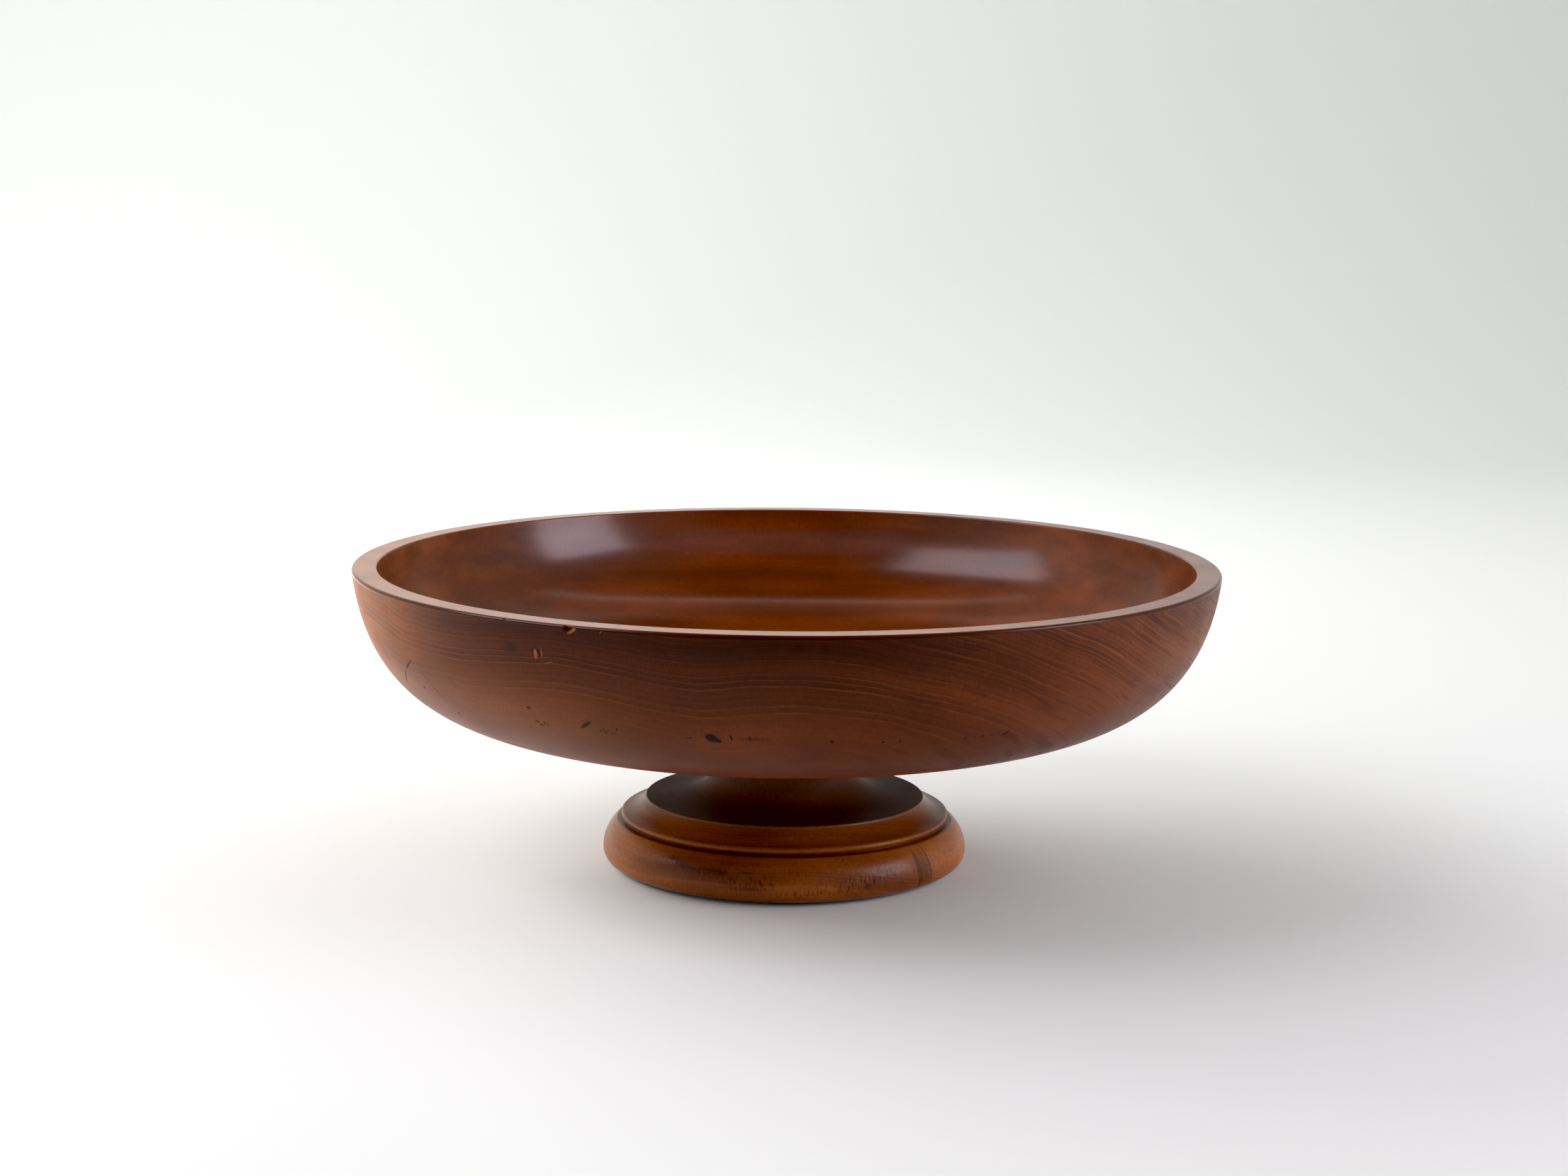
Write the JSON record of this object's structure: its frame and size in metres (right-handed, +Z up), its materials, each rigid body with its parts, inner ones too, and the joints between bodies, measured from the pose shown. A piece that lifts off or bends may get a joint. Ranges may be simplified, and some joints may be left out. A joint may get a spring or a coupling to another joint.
{
  "type": "footed serving bowl",
  "caption": "Turned hardwood serving bowl with upright sides and a flat rim, screwed to a moulded pedestal foot with a baize disc underneath.",
  "frame": {"origin": "centre of the baize face that the bowl stands on", "axes": "+Z up along the turning axis; +X to the right and +Y away from the viewer in the picture"},
  "size_m": [0.3, 0.3, 0.1072],
  "materials": {
    "turned_wood": "waxed satin over red-brown hardwood grain",
    "screw_brass": "dull brass",
    "green_baize": "felted wool cloth"
  },
  "bodies": {
    "root": {"bowl": "turned_wood", "foot": "turned_wood", "foot_screw_1": "screw_brass", "foot_screw_2": "screw_brass", "foot_screw_3": "screw_brass", "baize_pad": "green_baize"}
  },
  "joints": []
}
